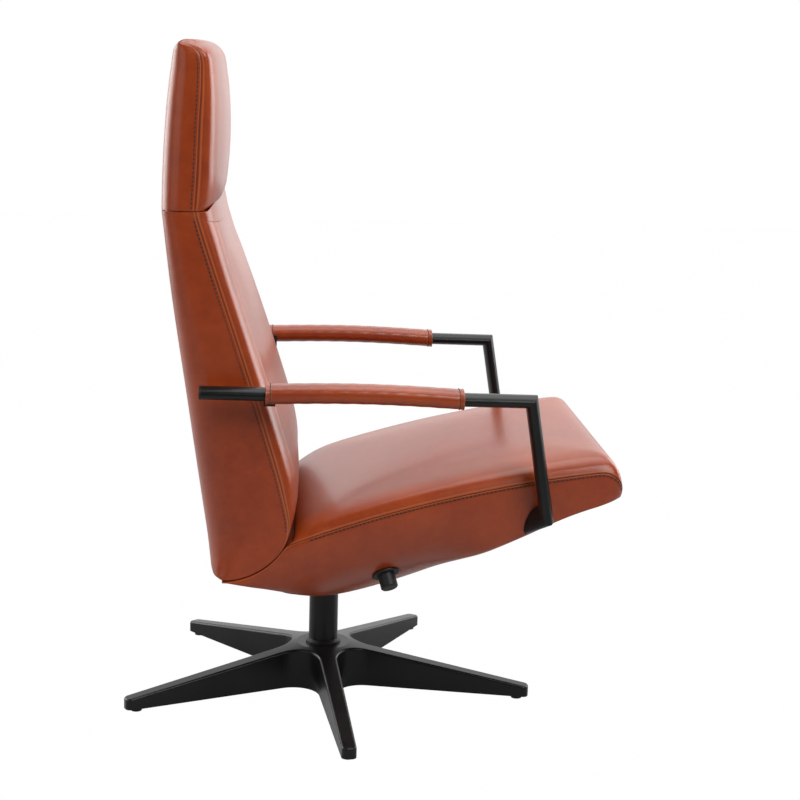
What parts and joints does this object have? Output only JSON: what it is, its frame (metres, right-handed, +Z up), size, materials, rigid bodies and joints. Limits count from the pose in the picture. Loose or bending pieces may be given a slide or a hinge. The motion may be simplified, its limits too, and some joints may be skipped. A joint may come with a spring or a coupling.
{
  "type": "recliner",
  "caption": "Swivel recliner on a black star base, with a leather seat, reclining back, tilting head section, open metal arms and a release knob.",
  "frame": {"origin": "on the floor, on the axis of the stand column", "axes": "+Z up, the sitter faces -Y, +X to the sitter's left"},
  "size_m": [0.685, 0.8089, 1.105],
  "materials": {
    "leather": "semi-gloss, fine grain",
    "black_metal": "satin",
    "black_plastic": "matt",
    "steel": "mill",
    "webbing": "woven"
  },
  "bodies": {
    "base": {"star_base": "black_metal", "floor_glides": "black_plastic", "column_tube": "black_metal", "column_collar": "black_plastic", "upper_bush": "black_plastic", "lower_bush": "black_plastic", "thrust_washer": "black_plastic"},
    "seat": {"swivel_spindle": "steel", "chassis_plate": "steel", "chassis_bolts": "steel", "gas_spring_bracket": "steel", "gas_spring_pin": "steel", "seat_frame": "steel", "arm_frame_left": "black_metal", "arm_frame_right": "black_metal", "arm_end_caps": "black_plastic", "arm_bolts": "steel", "arm_sleeve_left": "leather", "arm_sleeve_right": "leather", "arm_guide_left": "black_plastic", "arm_guide_right": "black_plastic", "seat_cushion": "leather", "seat_shell": "leather", "seat_webbing": "webbing", "knob_rosette": "black_plastic", "release_cable": "black_plastic"},
    "knob": {"release_knob": "black_plastic"},
    "gas_barrel": {"gas_cylinder": "steel"},
    "gas_piston": {"gas_rod": "steel"},
    "back": {"back_frame": "steel", "hinge_pins": "steel", "lever_pin": "steel", "head_hinge_pins": "steel", "back_cushion": "leather"},
    "head": {"head_frame": "steel", "head_cushion": "leather"}
  },
  "joints": [
    {"name": "seat_swivel", "type": "hinge", "parent": "base", "child": "seat", "pos_m": [0, 0, 0.1], "axis": [0, 0, 1], "continuous": true},
    {"name": "back_recline", "type": "hinge", "parent": "seat", "child": "back", "pos_m": [0, 0.17, 0.38], "axis": [-1, 0, 0], "range_deg": [0, 22]},
    {"name": "head_tilt", "type": "hinge", "parent": "back", "child": "head", "pos_m": [0, 0.23577, 0.848], "axis": [1, 0, 0], "range_deg": [0, 18]},
    {"name": "knob_press", "type": "slide", "parent": "seat", "child": "knob", "axis": [0.5743, 0.2422, 0.782], "range_m": [0, 0.006], "stiffness_N_per_m": 900},
    {"name": "gas_spring_swing", "type": "hinge", "parent": "seat", "child": "gas_barrel", "pos_m": [0, -0.03, 0.292], "axis": [1, 0, 0], "range_deg": [0, 2.2]},
    {"name": "gas_spring_stroke", "type": "slide", "parent": "gas_barrel", "child": "gas_piston", "axis": [0, -0.996, -0.0896], "range_m": [0, 0.0262]}
  ],
  "couplings": [
    {"joint": "gas_spring_swing", "follows": "back_recline", "ratio": 0.095},
    {"joint": "gas_spring_stroke", "follows": "back_recline", "m_per_rad": 0.0667}
  ]
}
